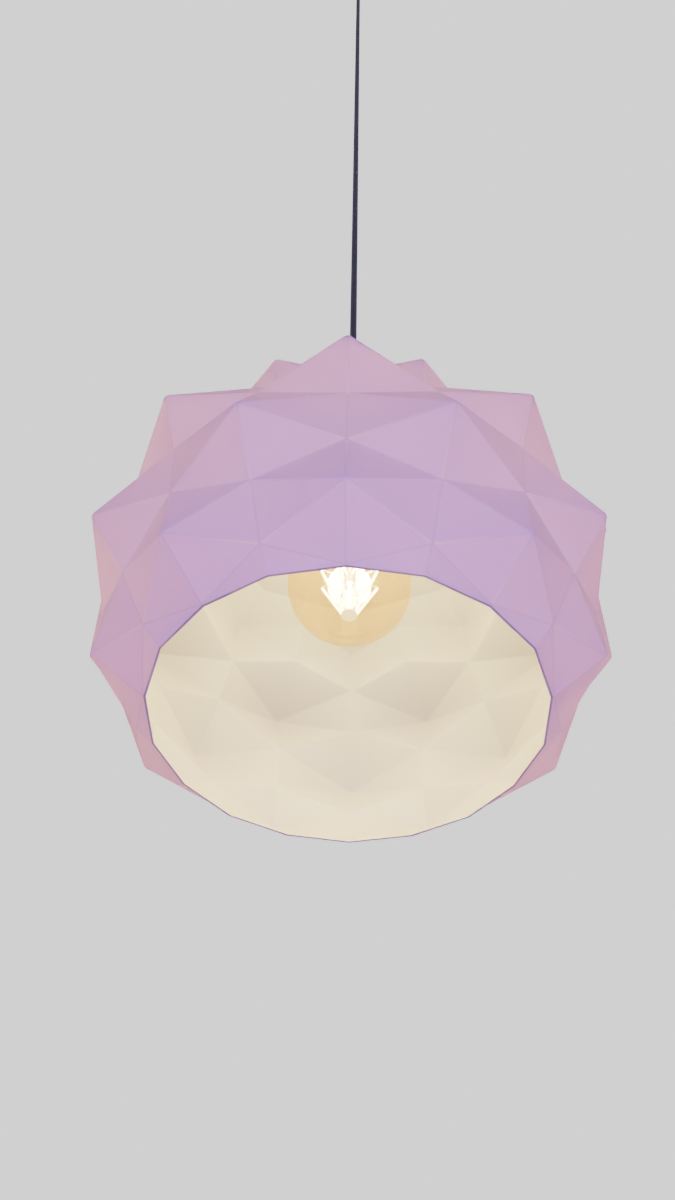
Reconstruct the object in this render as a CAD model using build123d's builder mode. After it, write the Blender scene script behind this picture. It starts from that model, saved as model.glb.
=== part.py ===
"""Pendant lamp: a faceted shade on a cord, with its lampholder, globe lamp and ceiling fitting.

Millimetres, +Z up. The origin is the middle of the ceiling fitting's top face, and the lamp
hangs down the -Z axis. Heights in the shade are counted up from its rim.
"""
import os
from math import cos, pi, radians, sin

from build123d import *

os.makedirs("parts", exist_ok=True)

# Ceiling cup, open at the top and closed against the ceiling
cup_radius = 40.0
cup_height = 45.0
cup_wall = 2.0
cup_corner = 8.0

# Bracket that is screwed to the ceiling inside the cup
bracket_width = 14.0
bracket_thickness = 1.5
bracket_gap = 0.6
slot_spacing = 44.0
slot_length = 10.0
slot_radius = 2.2
ear_drop = 14.0
side_screw_drop = 9.0
side_screw_radius = 1.6
side_head_radius = 3.4
side_head_thickness = 2.0
screw_clearance = 0.06

# Terminal block under the bracket
block_length = 22.0
block_depth = 16.0
block_height = 14.0
pole_spacing = 10.0
sleeve_radius = 2.4
sleeve_bore = 1.5
clamp_radius = 1.2
clamp_inset = 1.0
block_corner = 1.0
block_screw_radius = 1.0
block_head_radius = 2.2
block_head_height = 1.6
block_head_recess = 2.0
sleeve_inset = 1.0

# Cord: two cores in a round textile sheath
cord_radius = 3.5
cord_free = 1710.0
core_radius = 1.0
core_spacing = 3.4
cord_clearance = 0.25
bend_pitch = 8.0
bend_tail = 6.0
ball_clearance = 0.1
ball_rim = 1.0
lead_tail = 2.0
core_rise = 4.0
core_bend = 2.5
core_swing = 9.0
core_dip = 3.0
core_end = 1.0

# Bell-mouthed gland in the floor of the cup
gland_radius = 11.0
gland_drop = 22.0
mouth_depth = 12.0
mouth_radius = 8.9
stud_radius = 5.0
stud_clearance = 0.1
gland_stud = 11.0
gland_chamfer = 1.5
nut_flats = 14.0
nut_thickness = 3.0
grub_radius = 1.6
grub_length = 5.5
grub_drop = 4.5
slot_depth = 0.8
slot_width = 0.7

# Cord grip on top of the lampholder
grip_radius = 7.5
grip_height = 16.0
grip_stud = 7.0
grip_chamfer = 2.0
grip_chamfer_height = 2.5
grip_screw_drop = 5.0
sheath_tail = 7.0

# Lampholder with a threaded skirt
skirt_radius = 19.8
skirt_length = 34.0
skirt_bore = 15.2
skirt_chamfer = 1.0
shoulder_radius = 23.0
shoulder_height = 5.0
spigot_radius = 18.6
spigot_height = 7.5
spigot_bore = 16.6
cap_radius = 21.2
cap_height = 31.5
cap_straight = 12.0
cap_wall = 2.2
cap_top_radius = 9.5
cap_crown_slope = 0.15
thread_clearance = 0.1
contact_drop = 10.3
core_drop = 8.5
core_height = 10.0
shell_radius = 14.0
shell_wall = 0.4
shell_opening = 9.0
shell_recess = 3.5
strip_thickness = 0.5
strip_width = 5.0
pad_thickness = 0.8
pad_reach = 6.0
slot_play = 0.1
tongue_reach = 4.0
centre_leg_margin = 2.1
side_leg_margin = 0.6
terminal_spacing = 19.0
terminal_radius = 1.4
terminal_length = 6.0
terminal_head = 2.8
terminal_head_height = 2.0
terminal_hole_play = 1.0
terminal_core_gap = 0.4
terminal_core_rise = 6.0
terminal_core_bend = 1.8

# Ring that clamps the shade up against the shoulder
ring_radius = 26.0
ring_height = 7.0
ring_clearance = 0.2
ring_flutes = 12
flute_radius = 1.8
flute_stop = 1.5
washer_radius = 25.0
washer_thickness = 1.0

# Where the globe's arc ends and its neck begins, in degrees from the top
neck_lean = 40.0

# Globe lamp with an E27 cap
globe_radius = 47.5
globe_wall = 0.9
lamp_length = 138.0
neck_clearance = 0.3
lamp_cap_radius = 13.1
lamp_cap_length = 24.0
lamp_cap_wall = 0.4
lamp_cap_thread = 0.7
lamp_cap_turns = 4
lamp_cap_chamfer = 0.3
lamp_cap_hole = 6.2
thread_core = 1.0
thread_start = 5.0
thread_pitch = 3.6
insulator_height = 1.6
insulator_bore = 3.2
insulator_foot = 10.1
insulator_top = 5.4
tip_radius = 4.2
tip_end_radius = 2.52
tip_height = 1.2
contact_gap = 0.1
stem_radius = 5.0
stem_wall = 1.0
stem_chamfer = 1.2
flare_height = 12.0
filament_count = 8
filament_radius = 1.0
fan_rise = 6.0
fan_radius = 23.0
hub_drop = 34.0
hub_radius = 6.0
hub_thickness = 0.8
spider_rise = 1.8
support_radius = 0.4
driver_length = 9.0
driver_thickness = 1.6

# Shade: a moulded faceted shell, nine peaks round
shade_sides = 9
shade_wall = 1.8
plate_thickness = 2.4
plate_clearance = 0.4
rim_overlap = 0.001
rim_radius = 137.3

# How far a cut runs past the face that it opens
beyond = 1.0

# The rolled thread's crest begins and ends, and its root begins, at these shares of the pitch
crest_begin, crest_finish, root_begin = 0.35, 0.55, 0.9

# Each row of corners has its radius and its height over the rim
low_valley_radius, low_valley_height = 150.4, 14.4
first_peak_radius, first_peak_height = 177.4, 32.1
first_saddle_radius, first_saddle_height = 170.7, 52.2
second_saddle_radius, second_saddle_height = 176.4, 73.3
second_peak_radius, second_peak_height = 201.2, 95.9
third_saddle_radius, third_saddle_height = 180.7, 119.2
fourth_saddle_radius, fourth_saddle_height = 177.6, 143.1
third_peak_radius, third_peak_height = 198.2, 164.7
fifth_saddle_radius, fifth_saddle_height = 159.6, 178.8
sixth_saddle_radius, sixth_saddle_height = 145.3, 191.7
fourth_peak_radius, fourth_peak_height = 157.5, 220.9
top_valley_radius, top_valley_height = 133.0, 227.0
plate_radius, plate_height = 122.4, 239.5

# Levels, from the ceiling down
cup_floor = -cup_height
gland_mouth = cup_floor - gland_drop
bend_upper = gland_mouth + mouth_depth
bend_lower = bend_upper - bend_pitch
run_top = bend_lower - bend_tail
grip_top = gland_mouth - cord_free
cap_top = grip_top - grip_height
shoulder_top = cap_top - cap_height
seat = shoulder_top - shoulder_height
skirt_end = seat - skirt_length
core_floor = seat - core_drop
contact_level = seat - contact_drop
core_top = core_floor + core_height
lamp_tip = contact_level - contact_gap
cap_foot = lamp_tip - tip_height - insulator_height - lamp_cap_length
globe_bottom = lamp_tip - lamp_length
globe_centre = globe_bottom + globe_radius
rim = seat - plate_height
cord_bore = cord_radius + cord_clearance


def bar(outer, inner, low, high):
    """A round bar or tube on the lamp's axis, from one level to another."""
    with BuildSketch(Plane.XY.offset(low)) as section:
        Circle(outer)
        if inner:
            Circle(inner, mode=Mode.SUBTRACT)
    extrude(section.sketch, amount=high - low)


def cut_bar(radius, low, high):
    """A round hole on the lamp's axis, from one level to another."""
    with BuildSketch(Plane.XY.offset(low)) as section:
        Circle(radius)
    extrude(section.sketch, amount=high - low, mode=Mode.SUBTRACT)


def turned(points, mode=Mode.ADD):
    """A solid of revolution from the corners of its half section, radius first."""
    with BuildSketch(Plane.XZ) as section:
        with BuildLine():
            Polyline(*points, close=True)
        make_face()
    revolve(section.sketch, axis=Axis.Z, mode=mode)


def ball(level, radius, mode=Mode.ADD):
    """A ball on the lamp's axis."""
    with Locations((0, 0, level)):
        Sphere(radius, mode=mode)


def across(level, radius, start, reach, mode=Mode.ADD):
    """A round bar or hole along +X at one level, from one distance from the axis to another."""
    with BuildSketch(Plane.YZ.offset(start)) as section:
        with Locations((0, level)):
            Circle(radius)
    extrude(section.sketch, amount=reach - start, mode=mode)


def hexagon_nut(low, high, bore):
    """A hexagon nut on the lamp's axis."""
    with BuildSketch(Plane.XY.offset(low)) as section:
        RegularPolygon(nut_flats / 2, 6, major_radius=False)
        Circle(bore, mode=Mode.SUBTRACT)
    extrude(section.sketch, amount=high - low)


def wire_path(points, bend):
    """A core of the cord along straight runs with round bends."""
    with BuildLine() as path:
        FilletPolyline(*points, radius=bend)
    with BuildSketch(Plane(origin=path.line @ 0, z_dir=path.line % 0)) as section:
        Circle(core_radius)
    sweep(section.sketch, path=path.line)


def finish(piece, name):
    """Name a piece and write its file."""
    piece.part.label = name
    export_step(piece.part, f"parts/{name}.step")


# Ceiling cup
with BuildPart() as ceiling_cup:
    bar(cup_radius, 0, cup_floor, 0)
    fillet(ceiling_cup.faces().sort_by(Axis.Z)[0].edges(), cup_corner)
    bar_top = ceiling_cup.faces().sort_by(Axis.Z)[-1]
    offset(amount=-cup_wall, openings=bar_top)
    cut_bar(stud_radius + stud_clearance, cup_floor - cup_wall, 0)
    for turn in (0, 180):
        with BuildSketch(Plane.YZ.rotated((0, 0, turn)).offset(cup_radius - 3 * cup_wall)):
            with Locations((0, -side_screw_drop)):
                Circle(side_screw_radius + screw_clearance)
        extrude(amount=4 * cup_wall, mode=Mode.SUBTRACT)
finish(ceiling_cup, "ceiling_cup")

# Bracket with two ceiling slots and two ears
ear_reach = cup_radius - cup_wall - bracket_gap - bracket_width**2 / (8 * (cup_radius - cup_wall))
with BuildPart() as mounting_bracket:
    with BuildSketch(Plane.XY.offset(-bracket_thickness)):
        Rectangle(2 * ear_reach, bracket_width)
        with GridLocations(slot_spacing, 0, 2, 1):
            SlotOverall(slot_length, 2 * slot_radius, mode=Mode.SUBTRACT)
        with GridLocations(0, block_depth / 2, 1, 2):
            Circle(block_screw_radius + screw_clearance, mode=Mode.SUBTRACT)
    extrude(amount=bracket_thickness)
    with Locations((ear_reach - bracket_thickness / 2, 0, -ear_drop / 2),
                   (bracket_thickness / 2 - ear_reach, 0, -ear_drop / 2)):
        Box(bracket_thickness, bracket_width, ear_drop)
    across(-side_screw_drop, side_screw_radius + screw_clearance,
           -2 * ear_reach, 2 * ear_reach, Mode.SUBTRACT)
finish(mounting_bracket, "mounting_bracket")

# Two screws that hold the cup to the ears
with BuildPart() as cup_screws:
    across(-side_screw_drop, side_screw_radius, ear_reach - 2 * bracket_thickness, cup_radius)
    across(-side_screw_drop, side_head_radius, cup_radius, cup_radius + side_head_thickness)
    with Locations((cup_radius + side_head_thickness, 0, -side_screw_drop)):
        Box(2 * slot_depth, 2 * side_head_radius, slot_width, mode=Mode.SUBTRACT)
    mirror(about=Plane.YZ)
finish(cup_screws, "cup_screws")

# Terminal block with a bore for each pole
pole_level = -bracket_thickness - block_height / 2
block_foot = -bracket_thickness - block_height
with BuildPart() as terminal_block:
    with Locations((0, 0, pole_level)):
        Box(block_length, block_depth, block_height)
    fillet(terminal_block.edges().filter_by(Axis.Z), block_corner)
    for pole in (-pole_spacing / 2, pole_spacing / 2):
        with BuildSketch(Plane.XZ.offset(-block_depth)):
            with Locations((pole, pole_level)):
                Circle(sleeve_radius + screw_clearance)
        extrude(amount=2 * block_depth, mode=Mode.SUBTRACT)
    with BuildSketch(Plane.XY.offset(block_foot)):
        with GridLocations(pole_spacing, block_depth / 2, 2, 2):
            Circle(clamp_radius + screw_clearance)
    extrude(amount=block_height / 2, mode=Mode.SUBTRACT)
    with BuildSketch(Plane.XY.offset(block_foot)) as screw_holes:
        with GridLocations(0, block_depth / 2, 1, 2):
            Circle(block_screw_radius + screw_clearance)
    extrude(screw_holes.sketch, amount=block_height, mode=Mode.SUBTRACT)
    with BuildSketch(Plane.XY.offset(block_foot)) as recesses:
        with GridLocations(0, block_depth / 2, 1, 2):
            Circle(block_head_radius + screw_clearance)
    extrude(recesses.sketch, amount=block_head_recess, mode=Mode.SUBTRACT)
finish(terminal_block, "terminal_block")

# Brass sleeves in the block
with BuildPart() as terminal_sleeves:
    with BuildSketch(Plane.XZ.offset(sleeve_inset - block_depth / 2)):
        with GridLocations(pole_spacing, 0, 2, 1):
            with Locations((0, pole_level)):
                Circle(sleeve_radius)
                Circle(sleeve_bore, mode=Mode.SUBTRACT)
    extrude(amount=block_depth - 2 * sleeve_inset)
    with BuildSketch(Plane.XY.offset(block_foot)):
        with GridLocations(pole_spacing, block_depth / 2, 2, 2):
            Circle(clamp_radius + screw_clearance)
    extrude(amount=block_height / 2, mode=Mode.SUBTRACT)
finish(terminal_sleeves, "terminal_sleeves")

# Clamping screws of the block
clamp_tip = pole_level - core_radius - contact_gap
with BuildPart() as terminal_screws:
    with BuildSketch(Plane.XY.offset(block_foot + clamp_inset)):
        with GridLocations(pole_spacing, block_depth / 2, 2, 2):
            Circle(clamp_radius)
    extrude(amount=clamp_tip - block_foot - clamp_inset)
    with BuildSketch(Plane.XY.offset(block_foot + clamp_inset)):
        with GridLocations(pole_spacing, block_depth / 2, 2, 2):
            Rectangle(2 * clamp_radius, slot_width)
    extrude(amount=slot_depth, mode=Mode.SUBTRACT)
finish(terminal_screws, "terminal_screws")

# Screws that hold the block to the bracket
head_top = block_foot + block_head_recess
with BuildPart() as block_screws:
    with BuildSketch(Plane.XY.offset(head_top)) as shafts:
        with GridLocations(0, block_depth / 2, 1, 2):
            Circle(block_screw_radius)
    extrude(shafts.sketch, amount=-head_top)
    with BuildSketch(Plane.XY.offset(head_top)) as heads:
        with GridLocations(0, block_depth / 2, 1, 2):
            Circle(block_head_radius)
    extrude(heads.sketch, amount=-block_head_height)
    with BuildSketch(Plane.XY.offset(head_top - block_head_height)) as slots:
        with GridLocations(0, block_depth / 2, 1, 2):
            Rectangle(2 * block_head_radius, slot_width)
    extrude(slots.sketch, amount=slot_depth, mode=Mode.SUBTRACT)
finish(block_screws, "block_screws")

# Bell-mouthed gland
gland_top = cup_floor + cup_wall + gland_stud
grub_level = cup_floor - grub_drop
with BuildPart() as cord_gland:
    turned([(cord_bore, gland_top), (stud_radius, gland_top), (stud_radius, cup_floor),
            (gland_radius - gland_chamfer, cup_floor), (gland_radius, cup_floor - gland_chamfer),
            (gland_radius, gland_mouth), (mouth_radius, gland_mouth),
            (cord_bore, bend_upper + ball_rim)])
    across(grub_level, grub_radius + screw_clearance, 0, 2 * gland_radius, Mode.SUBTRACT)
finish(cord_gland, "cord_gland")

# Nut that clamps the gland to the cup's floor
with BuildPart() as gland_nut:
    hexagon_nut(cup_floor + cup_wall, cup_floor + cup_wall + nut_thickness, stud_radius + stud_clearance)
finish(gland_nut, "gland_nut")

# Grub screw that grips the cord in the gland
with BuildPart() as gland_screw:
    across(grub_level, grub_radius, cord_radius, cord_radius + grub_length)
    with Locations((cord_radius + grub_length, 0, grub_level)):
        Box(2 * slot_depth, 2 * grub_radius, slot_width, mode=Mode.SUBTRACT)
finish(gland_screw, "gland_screw")

# Cord inside the cup, fixed by the grub screw
lead_top = gland_top + lead_tail
with BuildPart() as cord_lead:
    bar(cord_radius, 0, bend_upper + ball_rim, lead_top)
    ball(bend_upper, cord_radius + ball_clearance, Mode.SUBTRACT)
finish(cord_lead, "cord_lead")

# Cores from the cord to the block
with BuildPart() as lead_cores:
    for side in (-1, 1):
        wire_path([(side * core_spacing / 2, 0, lead_top),
                   (side * core_spacing / 2, 0, lead_top + core_rise),
                   (side * pole_spacing / 2, block_depth / 2 + core_swing, block_foot - core_dip),
                   (side * pole_spacing / 2, block_depth / 2 + core_swing, pole_level),
                   (side * pole_spacing / 2, core_end, pole_level)], core_bend)
finish(lead_cores, "lead_cores")

# First stretch of the cord that bends in the gland's mouth
with BuildPart() as cord_bend_upper:
    ball(bend_upper, cord_radius)
    bar(cord_radius, 0, bend_lower + ball_rim, bend_upper)
    ball(bend_lower, cord_radius + ball_clearance, Mode.SUBTRACT)
finish(cord_bend_upper, "cord_bend_upper")

# Second stretch, which bends the other way
with BuildPart() as cord_bend_lower:
    ball(bend_lower, cord_radius)
    bar(cord_radius, 0, run_top, bend_lower)
finish(cord_bend_lower, "cord_bend_lower")

# Free cord down to the lampholder
run_end = cap_top - grip_stud - sheath_tail
with BuildPart() as cord_run:
    bar(cord_radius, 0, run_end, run_top)
finish(cord_run, "cord_run")

# Cord grip on the lampholder's cap
grip_screw_level = grip_top - grip_screw_drop
with BuildPart() as cord_grip:
    turned([(cord_bore, cap_top - grip_stud), (stud_radius, cap_top - grip_stud), (stud_radius, cap_top),
            (grip_radius, cap_top), (grip_radius, grip_top - grip_chamfer_height),
            (grip_radius - grip_chamfer, grip_top), (cord_bore, grip_top)])
    across(grip_screw_level, grub_radius + screw_clearance, 0, 2 * grip_radius, Mode.SUBTRACT)
finish(cord_grip, "cord_grip")

# Grub screw of the grip
with BuildPart() as grip_screw:
    across(grip_screw_level, grub_radius, cord_radius, grip_radius)
    with Locations((grip_radius, 0, grip_screw_level)):
        Box(2 * slot_depth, 2 * grub_radius, slot_width, mode=Mode.SUBTRACT)
finish(grip_screw, "grip_screw")

# Nut under the cap's crown
with BuildPart() as grip_nut:
    hexagon_nut(cap_top - cap_wall - nut_thickness, cap_top - cap_wall, stud_radius + stud_clearance)
finish(grip_nut, "grip_nut")

# Bell-shaped cap of the lampholder
with BuildPart() as holder_cap:
    with BuildSketch(Plane.XZ):
        with BuildLine():
            Line((0, shoulder_top), (cap_radius, shoulder_top))
            Line((cap_radius, shoulder_top), (cap_radius, shoulder_top + cap_straight))
            Spline((cap_radius, shoulder_top + cap_straight), (cap_top_radius, cap_top),
                   tangents=[(0, 1), (-1, cap_crown_slope)])
            Line((cap_top_radius, cap_top), (0, cap_top))
            Line((0, cap_top), (0, shoulder_top))
        make_face()
    revolve(axis=Axis.Z)
    offset(amount=-cap_wall, openings=holder_cap.faces().sort_by(Axis.Z)[0])
    cut_bar(stud_radius + stud_clearance, cap_top - 2 * cap_wall, cap_top + cap_wall)
    cut_bar(spigot_radius + thread_clearance, shoulder_top - beyond,
            shoulder_top + spigot_height + beyond)
finish(holder_cap, "holder_cap")

# Lampholder body: threaded skirt, shoulder and spigot
with BuildPart() as holder_body:
    turned([(skirt_bore, skirt_end), (skirt_radius - skirt_chamfer, skirt_end),
            (skirt_radius, skirt_end + skirt_chamfer), (skirt_radius, seat),
            (shoulder_radius, seat), (shoulder_radius, shoulder_top),
            (spigot_radius, shoulder_top), (spigot_radius, shoulder_top + spigot_height),
            (spigot_bore, shoulder_top + spigot_height), (spigot_bore, core_floor),
            (skirt_bore, core_floor)])
finish(holder_body, "holder_body")

# Contact carrier on the ledge in the body
terminal_reach = terminal_spacing / 2
centre_leg = terminal_reach - terminal_radius - centre_leg_margin
side_leg = -(terminal_reach + terminal_radius + side_leg_margin)
core_middle = core_floor + core_height / 2
with BuildPart() as contact_carrier:
    bar(spigot_bore - thread_clearance, 0, core_floor, core_top)
    with Locations((centre_leg, 0, core_middle), (side_leg, 0, core_middle)):
        Box(strip_thickness + 2 * slot_play, strip_width + 2 * slot_play, 2 * core_height,
            mode=Mode.SUBTRACT)
    with BuildSketch(Plane.XY.offset(core_top)):
        with GridLocations(terminal_spacing, 0, 2, 1):
            Circle(terminal_radius + screw_clearance)
    extrude(amount=-terminal_length - terminal_hole_play, mode=Mode.SUBTRACT)
finish(contact_carrier, "contact_carrier")

# Threaded shell that takes the lamp's cap
with BuildPart() as screw_shell:
    bar(shell_radius, 0, skirt_end + shell_recess, core_floor)
    cut_bar(shell_radius - shell_wall, skirt_end, core_floor - shell_wall)
    cut_bar(shell_opening, skirt_end, core_floor + shell_wall)
finish(screw_shell, "screw_shell")


def contact_strip(leg, low, side):
    """A contact's leg through the carrier and its pad on top, with a hole for the screw."""
    with Locations((leg, 0, (low + core_top + pad_thickness) / 2)):
        Box(strip_thickness, strip_width, core_top + pad_thickness - low)
    pad_in = min(abs(leg), terminal_reach) - strip_thickness / 2
    pad_out = max(abs(leg), terminal_reach) + terminal_head
    pad_place = (side * (pad_in + pad_out) / 2, (strip_width - pad_reach) / 2,
                 core_top + pad_thickness / 2)
    with Locations(pad_place):
        Box(pad_out - pad_in, pad_reach + strip_width, pad_thickness)
    with BuildSketch(Plane.XY.offset(core_top)) as hole:
        with Locations((side * terminal_reach, 0)):
            Circle(terminal_radius + screw_clearance)
    extrude(hole.sketch, amount=pad_thickness, mode=Mode.SUBTRACT)


# Centre contact: a sprung tongue under the carrier
with BuildPart() as centre_contact:
    contact_strip(centre_leg, contact_level, 1)
    with Locations(((centre_leg - tongue_reach) / 2, 0, contact_level + strip_thickness / 2)):
        Box(centre_leg + tongue_reach, strip_width, strip_thickness)
finish(centre_contact, "centre_contact")

# Side contact, which rests on the shell's flange
with BuildPart() as side_contact:
    contact_strip(side_leg, core_floor, -1)
finish(side_contact, "side_contact")

# Terminal screws of the lampholder
pad_top = core_top + pad_thickness
with BuildPart() as holder_screws:
    with BuildSketch(Plane.XY.offset(pad_top - terminal_length)):
        with GridLocations(terminal_spacing, 0, 2, 1):
            Circle(terminal_radius)
    extrude(amount=terminal_length)
    with BuildSketch(Plane.XY.offset(pad_top)):
        with GridLocations(terminal_spacing, 0, 2, 1):
            Circle(terminal_head)
    extrude(amount=terminal_head_height)
    with BuildSketch(Plane.XY.offset(pad_top + terminal_head_height)):
        with GridLocations(terminal_spacing, 0, 2, 1):
            Rectangle(2 * terminal_head, slot_width)
    extrude(amount=-slot_depth, mode=Mode.SUBTRACT)
finish(holder_screws, "holder_screws")

# Cores from the cord to the lampholder's terminals
core_lane = terminal_head + core_radius + terminal_core_gap
with BuildPart() as holder_cores:
    for side in (-1, 1):
        wire_path([(side * core_spacing / 2, 0, run_end),
                   (side * core_spacing / 2, 0, run_end - core_rise),
                   (side * terminal_reach, -core_lane, pad_top + terminal_core_rise),
                   (side * terminal_reach, -core_lane, pad_top)], terminal_core_bend)
finish(holder_cores, "holder_cores")


def shade_corner(radius, height, step):
    """A corner of the shade on one of its eighteen meridians."""
    angle = radians(-90 + step * 180 / shade_sides)
    return Vector(radius * cos(angle), radius * sin(angle), rim + height)


def shade_solid(rows, rim_row):
    """A closed faceted solid: rows alternate between even and odd meridians on the way up."""
    count = 2 * shade_sides
    corners = []
    for step in range(count):
        mine = [rim_row] + [(r, h) for parity, r, h in rows if parity == step % 2]
        corners.append([shade_corner(r, h, step) for r, h in mine])
    facets = []
    for step in range(0, count, 2):
        for odd in ((step + 1) % count, (step - 1) % count):
            level = {0: 0, 1: 0}
            column = {0: corners[step], 1: corners[odd]}
            for parity, _, _ in rows:
                level[parity] += 1
                new = column[parity][level[parity]]
                below = column[parity][level[parity] - 1]
                beside = column[1 - parity][level[1 - parity]]
                facets.append([below, new, beside])
        plate = [corners[(step + 1) % count][-1], corners[(step - 1) % count][-1]]
        facets.append([corners[step][-1], *plate])
    facets.append([corners[step][-1] for step in range(1, count, 2)])
    facets.append([column[0] for column in corners])
    return Solid(Shell([Face(Wire.make_polygon(facet, close=True)) for facet in facets]))


shade_rows = [
    (1, low_valley_radius, low_valley_height),
    (0, first_peak_radius, first_peak_height),
    (1, first_saddle_radius, first_saddle_height),
    (0, second_saddle_radius, second_saddle_height),
    (1, second_peak_radius, second_peak_height),
    (0, third_saddle_radius, third_saddle_height),
    (1, fourth_saddle_radius, fourth_saddle_height),
    (0, third_peak_radius, third_peak_height),
    (1, fifth_saddle_radius, fifth_saddle_height),
    (0, sixth_saddle_radius, sixth_saddle_height),
    (1, fourth_peak_radius, fourth_peak_height),
    (0, top_valley_radius, top_valley_height),
    (1, plate_radius, plate_height),
]


def inner_rows(rows):
    """The same rows moved inwards by the wall, square to the outline between their neighbours."""
    outline = [(rim_radius, 0.0)] + [(r, h) for _, r, h in rows]
    moved = []
    for place, (parity, r, h) in enumerate(rows, start=1):
        low = outline[place - 1]
        high = outline[place + 1] if place + 1 < len(outline) else (0.0, h)
        run, rise = high[0] - low[0], high[1] - low[1]
        size = (run**2 + rise**2) ** 0.5
        moved.append((parity, r - shade_wall * rise / size, h + shade_wall * run / size))
    parity, r, h = rows[-1]
    moved[-1] = (parity, r - shade_wall, h - plate_thickness)
    return moved


# Faceted shade with its clamping hole
with BuildPart() as shade:
    add(shade_solid(shade_rows, (rim_radius, 0.0)))
    add(shade_solid(inner_rows(shade_rows), (rim_radius - shade_wall, -rim_overlap)),
        mode=Mode.SUBTRACT)
    cut_bar(skirt_radius + plate_clearance, seat - 3 * plate_thickness, seat + plate_thickness)
finish(shade, "shade")

# Washer between the ring and the shade
washer_top = seat - plate_thickness
ring_top = washer_top - washer_thickness
with BuildPart() as ring_washer:
    bar(washer_radius, skirt_radius + ring_clearance, ring_top, washer_top)
finish(ring_washer, "ring_washer")

# Fluted clamping ring
with BuildPart() as shade_ring:
    bar(ring_radius, skirt_radius + ring_clearance, ring_top - ring_height, ring_top)
    with BuildSketch(Plane.XY.offset(ring_top - ring_height)):
        with PolarLocations(ring_radius + flute_radius / 2, ring_flutes):
            Circle(flute_radius)
    extrude(amount=ring_height - flute_stop, mode=Mode.SUBTRACT)
finish(shade_ring, "shade_ring")

# Glass globe with its neck
neck_top = cap_foot + lamp_cap_length / 3


def globe(radius, neck, top, mode):
    """A solid globe with its neck, up to a level in the cap."""
    lean = radians(neck_lean)
    join = (radius * sin(lean), globe_centre + radius * cos(lean))
    with BuildSketch(Plane.XZ) as section:
        with BuildLine():
            ThreePointArc((0, globe_centre - radius), (radius, globe_centre), join)
            Spline(join, (neck, cap_foot), tangents=[(-cos(lean), sin(lean)), (0, 1)])
            Polyline((neck, cap_foot), (neck, top), (0, top), (0, globe_centre - radius))
        make_face()
    revolve(section.sketch, axis=Axis.Z, mode=mode)


glass_neck = lamp_cap_radius - lamp_cap_thread - lamp_cap_wall - neck_clearance
with BuildPart() as bulb_glass:
    globe(globe_radius, glass_neck, neck_top, Mode.ADD)
    globe(globe_radius - globe_wall, glass_neck - globe_wall, neck_top + beyond, Mode.SUBTRACT)
finish(bulb_glass, "bulb_glass")

# Threaded cap of the lamp
cap_end = cap_foot + lamp_cap_length
cap_root = lamp_cap_radius - lamp_cap_thread
with BuildPart() as bulb_cap:
    bar(cap_root, 0, cap_foot, cap_end)
    for crest in range(lamp_cap_turns):
        level = cap_foot + thread_start + crest * thread_pitch
        turned([(thread_core, level), (cap_root, level),
                (lamp_cap_radius, level + thread_pitch * crest_begin),
                (lamp_cap_radius, level + thread_pitch * crest_finish),
                (cap_root, level + thread_pitch * root_begin),
                (thread_core, level + thread_pitch * root_begin)])
    cut_bar(cap_root - lamp_cap_wall, cap_foot - beyond, cap_end - lamp_cap_wall)
    cut_bar(lamp_cap_hole, cap_foot, cap_end + beyond)
    top_rings = bulb_cap.edges().filter_by(GeomType.CIRCLE).group_by(Axis.Z)[-1]
    chamfer(top_rings.sort_by(SortBy.LENGTH)[-1], lamp_cap_chamfer)
finish(bulb_cap, "bulb_cap")

# Black glass insulator at the end of the cap
with BuildPart() as bulb_insulator:
    turned([(insulator_bore, cap_end), (insulator_foot, cap_end),
            (insulator_top, cap_end + insulator_height),
            (insulator_bore, cap_end + insulator_height)])
finish(bulb_insulator, "bulb_insulator")

# Solder tip that meets the centre contact
with BuildPart() as bulb_tip:
    turned([(0, cap_end + insulator_height), (tip_radius, cap_end + insulator_height),
            (tip_end_radius, lamp_tip), (0, lamp_tip)])
finish(bulb_tip, "bulb_tip")

# Glass stem with its flared foot
stem_top = neck_top - flare_height
fan_level = globe_centre + fan_rise
stem_foot = fan_level - stem_radius
hub_level = globe_centre - hub_drop
flare_end = glass_neck - globe_wall - thread_clearance
with BuildPart() as bulb_stem:
    turned([(0, stem_foot), (stem_radius - stem_chamfer, stem_foot),
            (stem_radius, stem_foot + stem_chamfer),
            (stem_radius, stem_top), (flare_end, neck_top), (flare_end - stem_wall, neck_top),
            (stem_radius - stem_wall, stem_top), (0, stem_top)])
finish(bulb_stem, "bulb_stem")


def rib_end(rib, radius, level):
    """A point of one of the filaments' planes, which are spread evenly round the axis."""
    angle = 2 * pi * (rib + 0.5) / filament_count
    return Vector(radius * cos(angle), radius * sin(angle), level)


# Light-giving filaments, spread like the ribs of a basket
with BuildPart() as bulb_filaments:
    for rib in range(filament_count):
        foot = rib_end(rib, hub_radius - filament_radius, hub_level + 2 * filament_radius)
        head = rib_end(rib, fan_radius, fan_level)
        with BuildSketch(Plane(origin=foot, z_dir=head - foot)):
            Circle(filament_radius)
        extrude(amount=(head - foot).length)
finish(bulb_filaments, "bulb_filaments")

# Hub, centre wire and spider that carry the filaments
with BuildPart() as bulb_supports:
    turned([(0, hub_level), (hub_radius, hub_level), (hub_radius, hub_level + hub_thickness),
            (2 * support_radius, hub_level + hub_thickness),
            (2 * support_radius, stem_foot), (0, stem_foot)])
    for rib in range(filament_count):
        inner = rib_end(rib, stem_radius, fan_level + spider_rise * filament_radius)
        outer = rib_end(rib, fan_radius + filament_radius, fan_level + spider_rise * filament_radius)
        with BuildSketch(Plane(origin=inner, z_dir=outer - inner)):
            Circle(support_radius)
        extrude(amount=(outer - inner).length)
finish(bulb_supports, "bulb_supports")

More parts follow.
